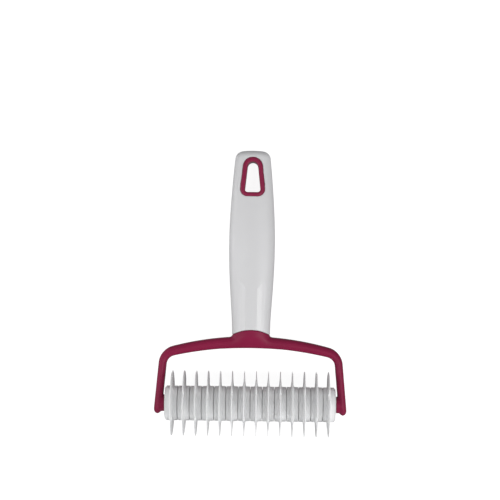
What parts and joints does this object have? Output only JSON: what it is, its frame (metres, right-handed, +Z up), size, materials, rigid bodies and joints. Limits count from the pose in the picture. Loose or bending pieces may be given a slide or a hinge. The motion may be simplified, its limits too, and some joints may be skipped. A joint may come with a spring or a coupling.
{
  "type": "lattice roller cutter",
  "caption": "Hand roller for cutting pastry lattice: a contoured handle with a lined hang hole, an arched yoke, and a free-turning roller of notched cutting discs staggered by turns.",
  "frame": {"origin": "on the table, under the middle of the bounding box, with the tool lying on its discs' rims and the handle's end", "axes": "+X along the roller's axis, +Y from the roller towards the handle's end, +Z up out of the tool's front face; the tool leans 4.77 degrees about X, handle end down"},
  "size_m": [0.1308, 0.1936, 0.044],
  "materials": {
    "handle_plastic": "satin-gloss white moulded plastic",
    "liner_plastic": "glossy magenta-burgundy moulded plastic",
    "yoke_plastic": "satin-gloss burgundy moulded plastic",
    "roller_plastic": "satin white moulded plastic"
  },
  "bodies": {
    "handle_frame": {"handle_shell": "handle_plastic", "hang_hole_liner": "liner_plastic", "yoke": "yoke_plastic"},
    "roller": {"roller_axle": "roller_plastic", "end_cap_left": "roller_plastic", "end_cap_right": "roller_plastic", "blade_wheel_01": "roller_plastic", "blade_wheel_02": "roller_plastic", "blade_wheel_03": "roller_plastic", "blade_wheel_04": "roller_plastic", "blade_wheel_05": "roller_plastic", "blade_wheel_06": "roller_plastic", "blade_wheel_07": "roller_plastic", "blade_wheel_08": "roller_plastic", "blade_wheel_09": "roller_plastic", "blade_wheel_10": "roller_plastic", "blade_wheel_11": "roller_plastic", "blade_wheel_12": "roller_plastic", "blade_wheel_13": "roller_plastic", "blade_wheel_14": "roller_plastic"}
  },
  "joints": [
    {"name": "roller_spin", "type": "hinge", "parent": "handle_frame", "child": "roller", "pos_m": [0, -0.07478, 0.022], "axis": [1, 0, 0], "continuous": true}
  ]
}
